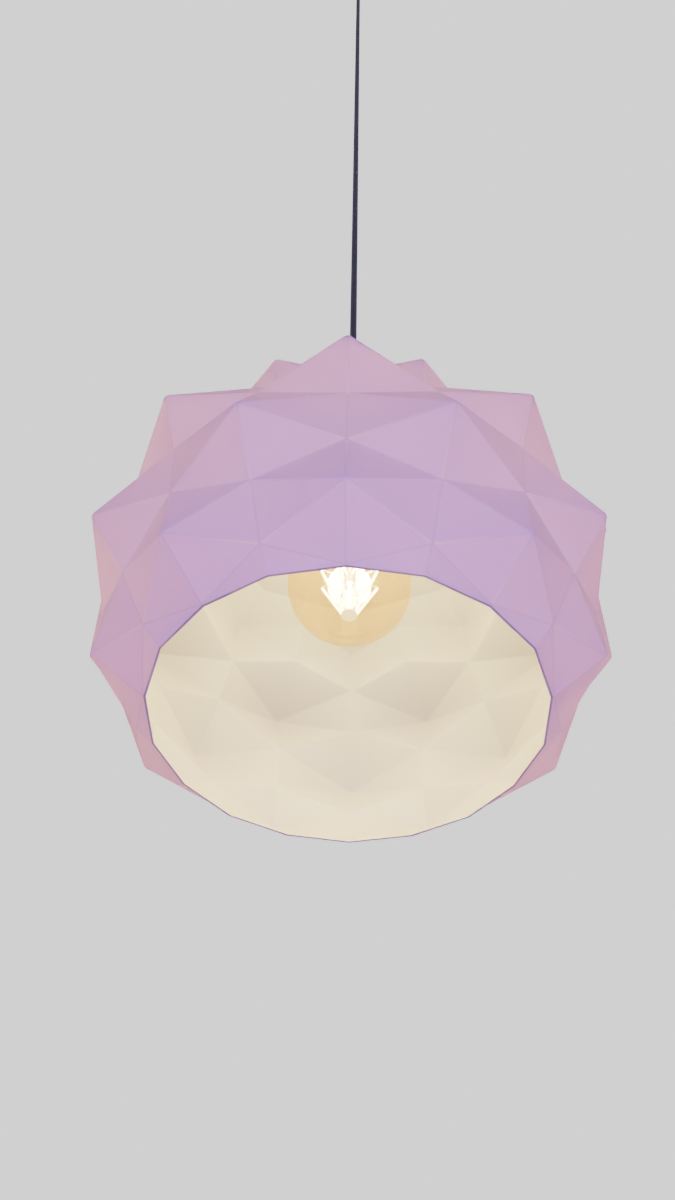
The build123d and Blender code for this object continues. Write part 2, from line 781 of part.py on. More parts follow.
# Driver board in the cap
with BuildPart() as bulb_driver:
    with Locations((0, 0, neck_top + driver_length / 2)):
        Box(2 * flare_end - stem_wall, driver_thickness, driver_length)
finish(bulb_driver, "bulb_driver")

print("rim at", round(rim, 2), "bulb centre over rim", round(globe_centre - rim, 2),
      "bends at", round(bend_upper, 2), round(bend_lower, 2),
      "lamp pitch ratio", round(thread_pitch / (2 * pi) / 1000, 8))
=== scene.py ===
"""Pendant lamp: finish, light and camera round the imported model.

Metres, +Z up. The origin is the middle of the ceiling fitting's top face, and the lamp hangs
down the -Z axis.
"""
from math import cos, pi, radians, sin

import bmesh
import bpy
from mathutils import Matrix, Vector
from mathutils.geometry import interpolate_bezier


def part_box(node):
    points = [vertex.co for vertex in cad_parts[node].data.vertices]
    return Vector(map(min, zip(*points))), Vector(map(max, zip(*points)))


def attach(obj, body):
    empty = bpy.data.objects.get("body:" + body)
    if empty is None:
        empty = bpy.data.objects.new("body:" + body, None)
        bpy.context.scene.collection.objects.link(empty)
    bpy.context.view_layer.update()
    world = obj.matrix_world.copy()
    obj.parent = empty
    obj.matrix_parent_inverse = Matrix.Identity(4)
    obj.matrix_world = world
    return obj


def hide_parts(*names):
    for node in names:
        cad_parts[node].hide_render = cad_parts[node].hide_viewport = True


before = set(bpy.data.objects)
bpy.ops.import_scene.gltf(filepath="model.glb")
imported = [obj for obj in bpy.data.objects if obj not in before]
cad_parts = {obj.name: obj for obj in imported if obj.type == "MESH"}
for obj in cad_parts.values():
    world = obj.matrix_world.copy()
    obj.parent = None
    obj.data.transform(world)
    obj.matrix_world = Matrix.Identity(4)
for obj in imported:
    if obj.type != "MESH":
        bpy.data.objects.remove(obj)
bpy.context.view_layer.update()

bl_info = {
    "name": "Faceted Pendant Lamp",
    "version": (1, 0, 0),
    "blender": (4, 5, 0),
    "location": "3D View > Sidebar > Pendant Lamp",
    "description": "Dresses a pendant lamp: faceted shade, globe bulb, holder, cord and ceiling cup",
    "category": "Object",
}

MM = 0.001
MERGE = 0.01 * MM

# Share of the painted lighter colour on an upright facet, and how fast it grows with tilt: painted
# light and shade by how a facet is turned
LEVEL_PAINTED_LIGHT = 0.35
TILT_PAINTED_LIGHT = 0.9

# The camera beside the axis, in front of it and below the rim, in metres, and its turns
CAMERA_SIDE = 0.0101
CAMERA_AWAY = 0.5540
CAMERA_BELOW = 0.4950
CAMERA_YAW = -1.97
CAMERA_PITCH = 48.04
CAMERA_ROLL = 1.53

# The floor is low and wide enough for views from below, and the backdrop is brighter to the
# camera than the even light that falls on the lamp
FLOOR_DROP = 5.2
FLOOR_RADIUS = 24.0
FLOOR_LIFT = 0.9
FILL = 0.3
BACKDROP = 1.7


def low(node_name):
    """The lowest level of a CAD node."""
    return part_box(node_name)[0].z


def high(node_name):
    """The highest level of a CAD node."""
    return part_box(node_name)[1].z


def reach(node_name):
    """How far a CAD node reaches from the lamp's axis."""
    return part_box(node_name)[1].x


def linear(text):
    """A linear colour from an sRGB hex value."""
    parts = [int(text[place:place + 2], 16) / 255 for place in (1, 3, 5)]
    return tuple(part / 12.92 if part <= 0.04045 else ((part + 0.055) / 1.055) ** 2.4
                 for part in parts)


def length(name, description, default, most):
    """A length that a user can set, in metres."""
    return bpy.props.FloatProperty(name=name, description=description, default=default,
                                   min=0.0, max=most, precision=5, unit="LENGTH")


def tone(name, description, text):
    """A colour that a user can set."""
    return bpy.props.FloatVectorProperty(name=name, description=description, subtype="COLOR",
                                         size=3, min=0.0, max=1.0, default=linear(text))


def amount(name, description, default, most=1.0):
    """A plain factor that a user can set."""
    return bpy.props.FloatProperty(name=name, description=description, default=default,
                                   min=0.0, max=most, subtype="FACTOR")


class ShadeSettings(bpy.types.PropertyGroup):
    """Sizes and colours of the faceted shade."""
    crease: length("Crease width", "Width of the rounding along each fold, to one side",
                   0.9 * MM, 5 * MM)
    rim_round: length("Rim rounding", "Rounding of the rim's two edges", 0.35 * MM, 0.8 * MM)
    # Painted light and shade: each facet is painted in the lighter colour or the dimmer one by how
    # it is turned
    outside: tone("Outside", "Colour outside, on facets turned to the floor", "#D49DF0")
    outside_painted_shade: tone("Outside, dim", "Colour outside, on facets turned up", "#A880DC")
    inside: tone("Inside", "Colour inside, on facets turned to the bulb", "#ECE9E0")
    inside_painted_shade: tone("Inside, dim", "Colour inside, on facets turned from it", "#D8D6D1")
    # Painted shade along the outward folds and painted light along the inward folds
    ridge_painted_shade: tone("Ridges", "Tint along the outward folds", "#9C86D6")
    valley_painted_light: tone("Valleys", "Tint along the inward folds", "#F6DCDA")
    lip: tone("Rim", "Tint of the rim's cut edge", "#7C62B4")
    glow_rim: amount("Glow at the rim", "Share of the light that passes low on the wall", 0.44)
    glow_top: amount("Glow at the top", "Share of the light that passes high on the wall",
                     0.66)
    glow_rise: length("Glow rise", "Height over which the glow grows", 160 * MM, 240 * MM)


class BulbSettings(bpy.types.PropertyGroup):
    """Sizes and colours of the globe bulb."""
    wall: length("Glass wall", "Thickness of the globe's glass", 0.9 * MM, 2 * MM)
    pitch: length("Thread pitch", "Pitch of the cap's thread", 3.6 * MM, 6 * MM)
    crest: length("Thread depth", "Height of the cap's rolled thread", 0.7 * MM, 1.2 * MM)
    glass: tone("Glass", "Tint of the gold glass", "#FFF8D4")
    light: tone("Light", "Colour of the lit filaments", "#FFE2B0")
    power: bpy.props.FloatProperty(name="Power", description="Radiant power of the bulb",
                                   default=11.5, min=0.0, max=100.0, unit="POWER")


class FittingSettings(bpy.types.PropertyGroup):
    """Sizes and colours of the lampholder, the gland and the ceiling cup."""
    edge: length("Edge rounding", "Rounding of the moulded edges", 0.5 * MM, 2 * MM)
    black: tone("Black plastic", "Colour of the lampholder", "#1B1A1C")
    white: tone("White plastic", "Colour of the ceiling cup and the gland", "#E9E7E2")


class CordSettings(bpy.types.PropertyGroup):
    """Size and colour of the cord."""
    diameter: length("Diameter", "Diameter of the cord over its braid",
                     2 * reach("cord_run"), 12 * MM)
    plait: length("Plait length", "Length of one crossing of the braid", 4.2 * MM, 10 * MM)
    colour: tone("Yarn", "Colour of the braided yarn", "#17161A")


class StageSettings(bpy.types.PropertyGroup):
    """The room that the lamp is shown in."""
    floor: tone("Floor", "Colour of the floor", "#D9D6D2")
    sky: tone("Backdrop", "Colour of the backdrop", "#EDECEF")
    fill: tone("Fill light", "Colour of the even light all round", "#FFFFFF")
    focal: bpy.props.FloatProperty(name="Focal length", description="Camera's focal length",
                                   default=33.0, min=10.0, max=200.0, unit="CAMERA")


def settings(name):
    """One of the lamp's groups of settings."""
    return getattr(bpy.context.scene, "pendant_" + name)


def node(tree, kind, inputs=None, **values):
    """Add a shader node, set its values, and set or link its inputs."""
    made = tree.nodes.new("ShaderNode" + kind)
    for name, value in values.items():
        setattr(made, name, value)
    for name, value in (inputs or {}).items():
        if isinstance(value, bpy.types.NodeSocket):
            tree.links.new(value, made.inputs[name])
        elif isinstance(value, (tuple, bpy.types.bpy_prop_array)) and len(value) == 3 \
                and made.inputs[name].type == "RGBA":
            made.inputs[name].default_value = (*value, 1.0)
        else:
            made.inputs[name].default_value = value
    return made


def new_material(name):
    """An empty material and its node tree."""
    material = bpy.data.materials.new(name)
    material.use_nodes = True
    material.node_tree.nodes.clear()
    return material, material.node_tree


def output(tree, shader):
    """Link a shader to the material's output."""
    node(tree, "OutputMaterial", {"Surface": shader})


def rgb(colour):
    """A colour as three plain numbers."""
    return tuple(colour[:3])


def blend_colour(tree, share, first, second):
    """The colour between two colours, at a share of the way."""
    mixed = node(tree, "Mix", {0: share, 6: (*first, 1.0) if isinstance(first, tuple) else first,
                               7: (*second, 1.0) if isinstance(second, tuple) else second},
                 data_type="RGBA")
    return mixed.outputs[2]


def shaded(colour, factor):
    """A colour made darker or lighter by a factor."""
    return tuple(min(part * factor, 1.0) for part in colour)


def grain_bump(tree, place, grain, depth, strength=0.4, detail=3.0):
    """A bump from a fine grain, both sizes real."""
    noise = node(tree, "TexNoise", {"Vector": place, "Scale": 1 / grain, "Detail": detail})
    return node(tree, "Bump", {"Height": noise.outputs["Fac"], "Strength": strength,
                               "Distance": depth}).outputs["Normal"]


def opal_polycarbonate():
    """Matt opal polycarbonate, injection moulded.

    White plastic with a breath of lilac that lets lamplight through: its thin wall glows. Its facets
    are painted lighter or dimmer by how they are turned, as painted light and shade, and its folds
    carry a painted line, darker and cooler on the outward folds as painted shade and lighter on the
    inward folds as painted light.
    """
    own = settings("shade")
    material, tree = new_material("opal_polycarbonate_moulded")
    place = node(tree, "TexCoord").outputs["Object"]
    side = node(tree, "Attribute", attribute_name="inside").outputs["Fac"]
    fold = node(tree, "Attribute", attribute_name="crease").outputs["Fac"]

    # The wall's thickness drifts a little over 60 mm, as melt flow leaves it
    flow = node(tree, "TexNoise", {"Vector": place, "Scale": 1 / (60 * MM), "Detail": 2.0})
    drift = node(tree, "MapRange", {"Value": flow.outputs["Fac"], "From Min": 0.3,
                                    "From Max": 0.7, "To Min": 0.0, "To Max": 1.0})
    # The photograph shows more contrast between facets than the light gives here, so the
    # ones turned to the floor are painted lighter, and the ones turned up dimmer
    turned = node(tree, "Attribute", attribute_name="turned").outputs["Fac"]
    outside = blend_colour(tree, turned, rgb(own.outside_painted_shade), rgb(own.outside))
    inner = blend_colour(tree, turned, rgb(own.inside_painted_shade), rgb(own.inside))
    cloudy = node(tree, "Math", {0: drift.outputs["Result"], 1: 0.08}, operation="MULTIPLY")
    outside = blend_colour(tree, cloudy.outputs[0], outside, rgb(own.outside_painted_shade))
    # Painted shade along the outward folds, and painted light along the inward folds
    ridge_painted_shade = node(tree, "MapRange", {"Value": fold, "From Min": 0.0, "From Max": 1.0,
                                    "To Min": 0.0, "To Max": 0.5})
    valley_painted_light = node(tree, "MapRange", {"Value": fold, "From Min": 0.0, "From Max": -1.0,
                                     "To Min": 0.0, "To Max": 0.3})
    outside = blend_colour(tree, ridge_painted_shade.outputs["Result"], outside, rgb(own.ridge_painted_shade))
    outside = blend_colour(tree, valley_painted_light.outputs["Result"], outside, rgb(own.valley_painted_light))
    lip = node(tree, "Attribute", attribute_name="lip").outputs["Fac"]
    colour = blend_colour(tree, side, outside, inner)
    colour = blend_colour(tree, lip, colour, rgb(own.lip))

    # Spark-eroded mould texture, drawn at 1.2 mm so that it shows
    normal = grain_bump(tree, place, 1.2 * MM, 0.04 * MM, strength=0.25)
    body = node(tree, "BsdfPrincipled", {
        "Base Color": colour, "Roughness": 0.52, "IOR": 1.58, "Normal": normal,
        "Specular IOR Level": 0.35, "Sheen Weight": 0.12, "Sheen Roughness": 0.35})
    body.inputs["Sheen Tint"].default_value = (*linear("#FFE0CC"), 1.0)
    through = node(tree, "BsdfTranslucent", {"Color": colour, "Normal": normal})
    # The photograph is brighter high on the wall, so more light is let through there
    level = node(tree, "SeparateXYZ", {0: place}).outputs["Z"]
    glow = node(tree, "MapRange", {"Value": level, "From Min": low("shade"),
                                   "From Max": low("shade") + own.glow_rise,
                                   "To Min": own.glow_rim, "To Max": own.glow_top})
    wall = node(tree, "MixShader", {0: glow.outputs["Result"], 1: body.outputs[0],
                                    2: through.outputs[0]})
    output(tree, wall.outputs[0])
    return material


def gold_glass():
    """Gold-tinted soda-lime glass, blown.

    Clear and smooth with a honey tint that deepens where the sight line runs along the wall.
    """
    own = settings("bulb")
    material, tree = new_material("gold_glass_blown_painted_glow")
    place = node(tree, "TexCoord").outputs["Object"]
    edge = node(tree, "LayerWeight", {"Blend": 0.25})
    slant = node(tree, "Math", {0: edge.outputs["Facing"], 1: 2.0}, operation="POWER")
    shine = node(tree, "Math", {0: slant.outputs[0], 1: 0.45}, operation="MULTIPLY_ADD")
    shine.inputs[2].default_value = 0.04

    # Long soft cords in the glass, 25 mm apart, left by blowing
    cords = node(tree, "TexNoise", {"Vector": place, "Scale": 1 / (25 * MM), "Detail": 1.0})
    normal = node(tree, "Bump", {"Height": cords.outputs["Fac"], "Strength": 0.15,
                                 "Distance": 0.6 * MM}).outputs["Normal"]
    clear = node(tree, "BsdfTransparent", {"Color": rgb(own.glass)})
    gloss = node(tree, "BsdfGlossy", {"Color": (1.0, 0.96, 0.88), "Roughness": 0.04,
                                      "Normal": normal})
    # Painted light: the glass itself is made to glow faintly, standing in for the filaments' light
    # scattered in it
    haze = node(tree, "Emission", {"Color": linear("#F2C66E"), "Strength": 0.06})
    skin = node(tree, "MixShader", {0: shine.outputs[0], 1: clear.outputs[0],
                                    2: gloss.outputs[0]})
    lit = node(tree, "AddShader", {0: skin.outputs[0], 1: haze.outputs[0]})
    output(tree, lit.outputs[0])
    return material


def lit_filament():
    """Phosphor-coated LED filament.

    A soft-edged yellow rod that burns almost white when lit.
    """
    own = settings("bulb")
    material, tree = new_material("led_filament_phosphor")
    place = node(tree, "TexCoord").outputs["Object"]
    # Chips under the phosphor, 1.1 mm apart, make the rod burn in beads
    beads = node(tree, "TexNoise", {"Vector": place, "Scale": 1 / (1.1 * MM), "Detail": 0.0})
    colour = blend_colour(tree, beads.outputs["Fac"], rgb(own.light), linear("#FFF4DC"))
    output(tree, node(tree, "Emission", {"Color": colour, "Strength": 24.0}).outputs[0])
    return material


def lit_wire():
    """Nickel-iron wire, drawn.

    Metal made to glow a little, as painted light for the burnt-out look that it has among lit
    filaments.
    """
    material = metal("nickel_iron_wire_drawn_painted_glow", linear("#B8B4AC"), linear("#9A958B"), 0.3,
                     0.3 * MM)
    # Painted light: the wire is given an emission so it glows as if lit up by the filaments
    for part in material.node_tree.nodes:
        if part.type == "BSDF_PRINCIPLED":
            part.inputs["Emission Color"].default_value = (*linear("#FFE9C0"), 1.0)
            part.inputs["Emission Strength"].default_value = 3.0
    return material


def clear_glass():
    """Lead-free stem glass, pressed: colourless, with bright edges, and made to glow as painted
    light from the filaments.
    """
    material, tree = new_material("stem_glass_pressed_painted_glow")
    edge = node(tree, "LayerWeight", {"Blend": 0.4})
    clear = node(tree, "BsdfTransparent", {"Color": (0.96, 0.95, 0.9)})
    gloss = node(tree, "BsdfGlossy", {"Color": (1.0, 1.0, 1.0), "Roughness": 0.05})
    # Painted light: the stem glass is made to glow, for the filaments' light in it
    glow = node(tree, "Emission", {"Color": linear("#FFE9BE"), "Strength": 1.4})
    skin = node(tree, "MixShader", {0: edge.outputs["Facing"], 1: clear.outputs[0],
                                    2: gloss.outputs[0]})
    lit = node(tree, "AddShader", {0: skin.outputs[0], 1: glow.outputs[0]})
    output(tree, lit.outputs[0])
    return material


def moulded_plastic(name, colour, rough):
    """Moulded thermoplastic: an even satin skin with a fine spark-eroded grain."""
    material, tree = new_material(name)
    place = node(tree, "TexCoord").outputs["Object"]
    # Handling leaves patches 18 mm wide that shine a little more
    patch = node(tree, "TexNoise", {"Vector": place, "Scale": 1 / (18 * MM), "Detail": 2.0})
    shine = node(tree, "MapRange", {"Value": patch.outputs["Fac"], "From Min": 0.35,
                                    "From Max": 0.65, "To Min": rough - 0.07,
                                    "To Max": rough + 0.07})
    skin = blend_colour(tree, patch.outputs["Fac"], colour, shaded(colour, 0.9))
    body = node(tree, "BsdfPrincipled", {
        "Base Color": skin, "Roughness": shine.outputs["Result"], "IOR": 1.5,
        "Normal": grain_bump(tree, place, 0.9 * MM, 0.05 * MM)})
    output(tree, body.outputs[0])
    return material


def metal(name, colour, stain, rough, grain):
    """Plated or drawn metal: a bright surface with faint stains and a fine drawn grain."""
    material, tree = new_material(name)
    place = node(tree, "TexCoord").outputs["Object"]
    cloud = node(tree, "TexNoise", {"Vector": place, "Scale": 1 / (7 * MM), "Detail": 4.0})
    share = node(tree, "MapRange", {"Value": cloud.outputs["Fac"], "From Min": 0.4,
                                    "From Max": 0.75, "To Min": 0.0, "To Max": 0.6})
    skin = blend_colour(tree, share.outputs["Result"], colour, stain)
    dull = node(tree, "MapRange", {"Value": cloud.outputs["Fac"], "From Min": 0.3,
                                   "From Max": 0.8, "To Min": rough, "To Max": rough + 0.15})
    body = node(tree, "BsdfPrincipled", {
        "Base Color": skin, "Metallic": 1.0, "Roughness": dull.outputs["Result"],
        "Normal": grain_bump(tree, place, grain, 0.02 * MM, strength=0.3)})
    output(tree, body.outputs[0])
    return material


def braided_yarn():
    """Braided rayon yarn over the cord.

    Black thread in a diamond braid: each crossing is bumped, painted lighter on its crown as painted
    highlight and darker in its gaps as painted shade.
    """
    own = settings("cord")
    material, tree = new_material("rayon_yarn_braided")
    place = node(tree, "TexCoord").outputs["Object"]
    split = node(tree, "SeparateXYZ", {0: place})
    turn = node(tree, "Math", {0: split.outputs["X"], 1: split.outputs["Y"]},
                operation="ARCTAN2").outputs[0]
    around = node(tree, "Math", {0: turn, 1: 8.0}, operation="MULTIPLY").outputs[0]
    along = node(tree, "Math", {0: split.outputs["Z"], 1: 2 * pi / own.plait},
                 operation="MULTIPLY").outputs[0]
    waves = []
    for operation in ("ADD", "SUBTRACT"):
        slant = node(tree, "Math", {0: along, 1: around}, operation=operation).outputs[0]
        waves.append(node(tree, "Math", {0: slant}, operation="SINE").outputs[0])
    crown = node(tree, "Math", {0: waves[0], 1: waves[1]}, operation="MULTIPLY").outputs[0]
    height = node(tree, "MapRange", {"Value": crown, "From Min": -1.0, "From Max": 1.0,
                                     "To Min": 0.0, "To Max": 1.0}).outputs["Result"]
    # Single fibres are finer than the render, so they are drawn 0.3 mm apart
    fibres = node(tree, "TexNoise", {"Vector": place, "Scale": 1 / (0.3 * MM), "Detail": 2.0})
    # Painted highlight on the braid's crowns and painted shade in its gaps, by the same height as
    # the bump
    yarn = blend_colour(tree, height, shaded(rgb(own.colour), 0.45),
                        shaded(rgb(own.colour), 1.7))
    yarn = blend_colour(tree, fibres.outputs["Fac"], yarn, rgb(own.colour))
    bump = node(tree, "Bump", {"Height": height, "Strength": 0.7, "Distance": 0.35 * MM})
    body = node(tree, "BsdfPrincipled", {
        "Base Color": yarn, "Roughness": 0.78, "Normal": bump.outputs["Normal"],
        "Sheen Weight": 0.35, "Sheen Roughness": 0.4})
    output(tree, body.outputs[0])
    return material


def core_insulation():
    """PVC core insulation, extruded: smooth and a little waxy, one core brown and one blue."""
    material, tree = new_material("pvc_core_extruded")
    place = node(tree, "TexCoord").outputs["Object"]
    split = node(tree, "SeparateXYZ", {0: place})
    side = node(tree, "Math", {0: split.outputs["X"], 1: 0.0}, operation="GREATER_THAN")
    haze = node(tree, "TexNoise", {"Vector": place, "Scale": 1 / (4 * MM)})
    brown = blend_colour(tree, haze.outputs["Fac"], linear("#5B3421"), linear("#6A3E28"))
    blue = blend_colour(tree, haze.outputs["Fac"], linear("#1F4F8F"), linear("#2A5C9E"))
    body = node(tree, "BsdfPrincipled", {
        "Base Color": blend_colour(tree, side.outputs[0], brown, blue), "Roughness": 0.38,
        "Normal": grain_bump(tree, place, 0.5 * MM, 0.02 * MM)})
    output(tree, body.outputs[0])
    return material


def speckled(name, colour, fleck, size, rough):
    """A dull material with fine flecks, as fired ceramic, pressed fibre or circuit board."""
    material, tree = new_material(name)
    place = node(tree, "TexCoord").outputs["Object"]
    cells = node(tree, "TexVoronoi", {"Vector": place, "Scale": 1 / size})
    share = node(tree, "MapRange", {"Value": cells.outputs["Distance"], "From Min": 0.05,
                                    "From Max": 0.5, "To Min": 0.7, "To Max": 0.0})
    body = node(tree, "BsdfPrincipled", {
        "Base Color": blend_colour(tree, share.outputs["Result"], colour, fleck),
        "Roughness": rough, "Normal": grain_bump(tree, place, size, 0.04 * MM)})
    output(tree, body.outputs[0])
    return material


def smooth(mesh, angle):
    """Shade a mesh smooth, except over edges sharper than an angle."""
    mesh.shade_smooth()
    mesh.set_sharp_from_angle(angle=angle)


def make_piece(shape, name, body, replaced, material, angle=radians(35)):
    """A finished piece from a bmesh, riding on a body in place of CAD nodes."""
    mesh = bpy.data.meshes.new(name)
    shape.to_mesh(mesh)
    shape.free()
    smooth(mesh, angle)
    mesh.materials.append(material)
    piece = bpy.data.objects.new(name, mesh)
    bpy.context.scene.collection.objects.link(piece)
    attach(piece, body)
    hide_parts(*replaced)
    return piece


def spun(outline, steps=96, ring=True):
    """A shape turned about the lamp's axis from the corners of its half section."""
    shape = bmesh.new()
    corners = [shape.verts.new((radius, 0.0, level)) for radius, level in outline]
    pairs = list(zip(corners, corners[1:]))
    if ring:
        pairs.append((corners[-1], corners[0]))
    edges = [shape.edges.new(pair) for pair in pairs]
    bmesh.ops.spin(shape, geom=corners + edges, cent=(0, 0, 0), axis=(0, 0, 1), dvec=(0, 0, 0),
                   angle=2 * pi, steps=steps, use_merge=True, use_duplicate=False)
    bmesh.ops.remove_doubles(shape, verts=shape.verts[:], dist=MERGE)
    bmesh.ops.recalc_face_normals(shape, faces=shape.faces[:])
    return shape


def round_edges(shape, width, angle=radians(30), segments=3, keep=None):
    """Round the edges of a shape that are sharper than an angle."""
    sharp = [edge for edge in shape.edges
             if edge.is_manifold and edge.calc_face_angle() > angle and (not keep or keep(edge))]
    return bmesh.ops.bevel(shape, geom=sharp, offset=width, offset_type="OFFSET",
                           segments=segments, profile=0.5, affect="EDGES", material=-1,
                           clamp_overlap=True)["faces"]


def cad_copy(node_name):
    """A merged copy of a CAD node's mesh, with its flat faces whole."""
    shape = bmesh.new()
    shape.from_mesh(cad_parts[node_name].data)
    bmesh.ops.remove_doubles(shape, verts=shape.verts[:], dist=MERGE)
    bmesh.ops.dissolve_limit(shape, angle_limit=radians(0.5), use_dissolve_boundaries=False,
                             verts=shape.verts[:], edges=shape.edges[:])
    return shape


class PENDANT_OT_shade(bpy.types.Operator):
    """Make the faceted shade with its rounded folds"""
    bl_idname = "pendant.shade"
    bl_label = "Shade"

    def execute(self, context):
        own = settings("shade")
        shape = cad_copy("shade")
        rim = low("shade")
        top = high("shade")
        middle = Vector((0.0, 0.0, (rim + top) / 2))
        hole = reach("holder_body") * 1.1

        def fold(edge):
            """Whether an edge is one of the shade's folds, and not on its rim or its hole."""
            levels = [corner.co.z for corner in edge.verts]
            radii = [corner.co.xy.length for corner in edge.verts]
            return max(levels) > rim + 0.1 * MM and min(radii) > hole

        rounded = set(round_edges(shape, own.crease, radians(2), 2, fold))
        for corner in shape.verts:
            corner.co.z = min(max(corner.co.z, rim), top)
        shape.normal_update()
        inside = shape.verts.layers.float.new("inside")
        crease = shape.verts.layers.float.new("crease")
        for corner in shape.verts:
            outward = corner.normal.dot(corner.co - middle) > 0
            corner[inside] = 0.0 if outward else 1.0
            if all(face in rounded for face in corner.link_faces):
                beside = [edge.other_vert(corner).co for edge in corner.link_edges]
                lift = (corner.co - sum(beside, Vector()) / len(beside)).dot(corner.normal)
                corner[crease] = 1.0 if lift > 0 else -1.0
        round_edges(shape, own.rim_round, radians(30), 2,
                    lambda edge: max(corner.co.z for corner in edge.verts) < rim + 0.1 * MM)
        # Painted light and shade: each facet's share of the lighter colour, growing outside on
        # facets turned down and inside on facets turned up
        turned = shape.faces.layers.float.new("turned")
        for face in shape.faces:
            inner = face.normal.dot(face.calc_center_median() - middle) < 0
            down = face.normal.z if inner else -face.normal.z
            face[turned] = min(max(LEVEL_PAINTED_LIGHT + TILT_PAINTED_LIGHT * down, 0.0), 1.0)
        lip = shape.verts.layers.float.new("lip")
        for corner in shape.verts:
            corner[lip] = 1.0 if corner.co.z < rim + 0.05 * MM else 0.0
        piece = make_piece(shape, "faceted_shade", "pendant", ["shade"],
                           opal_polycarbonate(), radians(180))
        steady = piece.modifiers.new("flat_facets", "WEIGHTED_NORMAL")
        steady.weight = 100
        return {"FINISHED"}


class PENDANT_OT_bulb(bpy.types.Operator):
    """Make the globe bulb with its glass, filaments and threaded cap"""
    bl_idname = "pendant.bulb"
    bl_label = "Bulb"

    def execute(self, context):
        own = settings("bulb")
        foot = low("bulb_cap")
        bottom = low("bulb_glass")
        radius = reach("bulb_glass")
        centre = bottom + radius
        neck_gap = 0.7 * MM
        neck_pull = 0.45
        steps = 40
        neck = reach("bulb_cap") - own.crest - neck_gap
        lean = radians(40)
        join = Vector((radius * sin(lean), 0, centre + radius * cos(lean)))
        angles = [turn * (pi - lean) / steps for turn in range(steps + 1)]
        outline = [(radius * sin(angle), centre - radius * cos(angle)) for angle in angles]
        pull = neck_pull * (join - Vector((neck, 0, foot))).length
        blend = interpolate_bezier(join, join + pull * Vector((-cos(lean), 0, sin(lean))),
                                   Vector((neck, 0, foot - pull)), Vector((neck, 0, foot)), 16)
        outline += [(point.x, point.z) for point in blend[1:]]
        outline += [(neck, high("bulb_glass"))]
        shape = spun(outline, 96, ring=False)
        globe = make_piece(shape, "bulb_globe", "bulb", ["bulb_glass"],
                           gold_glass())
        wall = globe.modifiers.new("glass_wall", "SOLIDIFY")
        wall.thickness = own.wall
        wall.offset = -1.0
        self.cap(own)
        self.filaments()
        return {"FINISHED"}

    def cap(self, own):
        """The cap: a thin drawn shell with a rolled thread of real pitch."""
        foot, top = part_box("bulb_cap")[0].z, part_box("bulb_cap")[1].z
        crest = reach("bulb_cap")
        root = crest - own.crest
        wall = 0.4 * MM
        bore = 6.2 * MM
        corner = 0.3 * MM
        skirt = foot + 4.0 * MM
        turns = 4.5
        steps = 48
        shape = bmesh.new()
        wave = 12
        thread = [shape.verts.new((root + own.crest * (0.5 - 0.5 * cos(2 * pi * place / wave)), 0,
                                   skirt - own.pitch / 2 + own.pitch * place / wave))
                  for place in range(wave + 1)]
        edges = [shape.edges.new(pair) for pair in zip(thread, thread[1:])]
        bmesh.ops.spin(shape, geom=thread + edges, cent=(0, 0, 0), axis=(0, 0, 1),
                       dvec=(0, 0, own.pitch / steps), angle=2 * pi * turns,
                       steps=int(steps * turns), use_merge=False, use_duplicate=False)
        bmesh.ops.remove_doubles(shape, verts=shape.verts[:], dist=5 * MERGE)
        for cut, outer in ((skirt, True), (skirt + (turns - 1) * own.pitch, False)):
            bmesh.ops.bisect_plane(shape, geom=shape.verts[:] + shape.edges[:] + shape.faces[:],
                                   plane_co=(0, 0, cut), plane_no=(0, 0, 1), dist=MERGE,
                                   clear_inner=outer, clear_outer=not outer)
        bmesh.ops.recalc_face_normals(shape, faces=shape.faces[:])
        low_ring = [(root, skirt), (root, foot), (root - wall, foot), (root - wall, top - wall),
                    (bore, top - wall), (bore, top), (root - corner, top),
                    (root, top - corner), (root, skirt + (turns - 1) * own.pitch)]
        shell = spun(low_ring, 96, ring=True)
        mesh = bpy.data.meshes.new("cap_shell")
        shell.to_mesh(mesh)
        shell.free()
        shape.from_mesh(mesh)
        bpy.data.meshes.remove(mesh)
        make_piece(shape, "bulb_screw_cap", "bulb", ["bulb_cap"],
                   metal("nickel_plate_drawn", linear("#C9C5BC"), linear("#A29C90"), 0.22,
                         0.4 * MM))

    def filaments(self):
        """The filaments, copied with their edges rounded, and the glass stem that holds them."""
        shape = cad_copy("bulb_filaments")
        round_edges(shape, 0.35 * MM, radians(50), 2)
        make_piece(shape, "bulb_filament_rods", "bulb", ["bulb_filaments"],
                   lit_filament())
        stem = cad_copy("bulb_stem")
        make_piece(stem, "bulb_glass_stem", "bulb", ["bulb_stem"], clear_glass())


class PENDANT_OT_holder(bpy.types.Operator):
    """Make the lampholder's cap, body, clamping ring and cord grip"""
    bl_idname = "pendant.holder"
    bl_label = "Lampholder"

    def execute(self, context):
        own = settings("fitting")
        black = moulded_plastic("thermoplastic_black_moulded", rgb(own.black), 0.42)
        for name, node_name, body in (("lampholder_cap", "holder_cap", "pendant"),
                                      ("lampholder_body", "holder_body", "pendant"),
                                      ("clamping_ring", "shade_ring", "ring"),
                                      ("cord_grip_sleeve", "cord_grip", "pendant")):
            shape = cad_copy(node_name)
            round_edges(shape, own.edge, radians(30), 3)
            make_piece(shape, name, body, [node_name], black)
        return {"FINISHED"}


class PENDANT_OT_ceiling(bpy.types.Operator):
    """Make the ceiling cup and its gland"""
    bl_idname = "pendant.ceiling"
    bl_label = "Ceiling cup"

    def execute(self, context):
        own = settings("fitting")
        white = moulded_plastic("thermoplastic_white_moulded", rgb(own.white), 0.4)
        for name, node_name in (("ceiling_cup_shell", "ceiling_cup"),
                                ("bell_mouth_gland", "cord_gland")):
            shape = cad_copy(node_name)
            round_edges(shape, own.edge, radians(30), 3)
            make_piece(shape, name, "ceiling", [node_name], white)
        return {"FINISHED"}


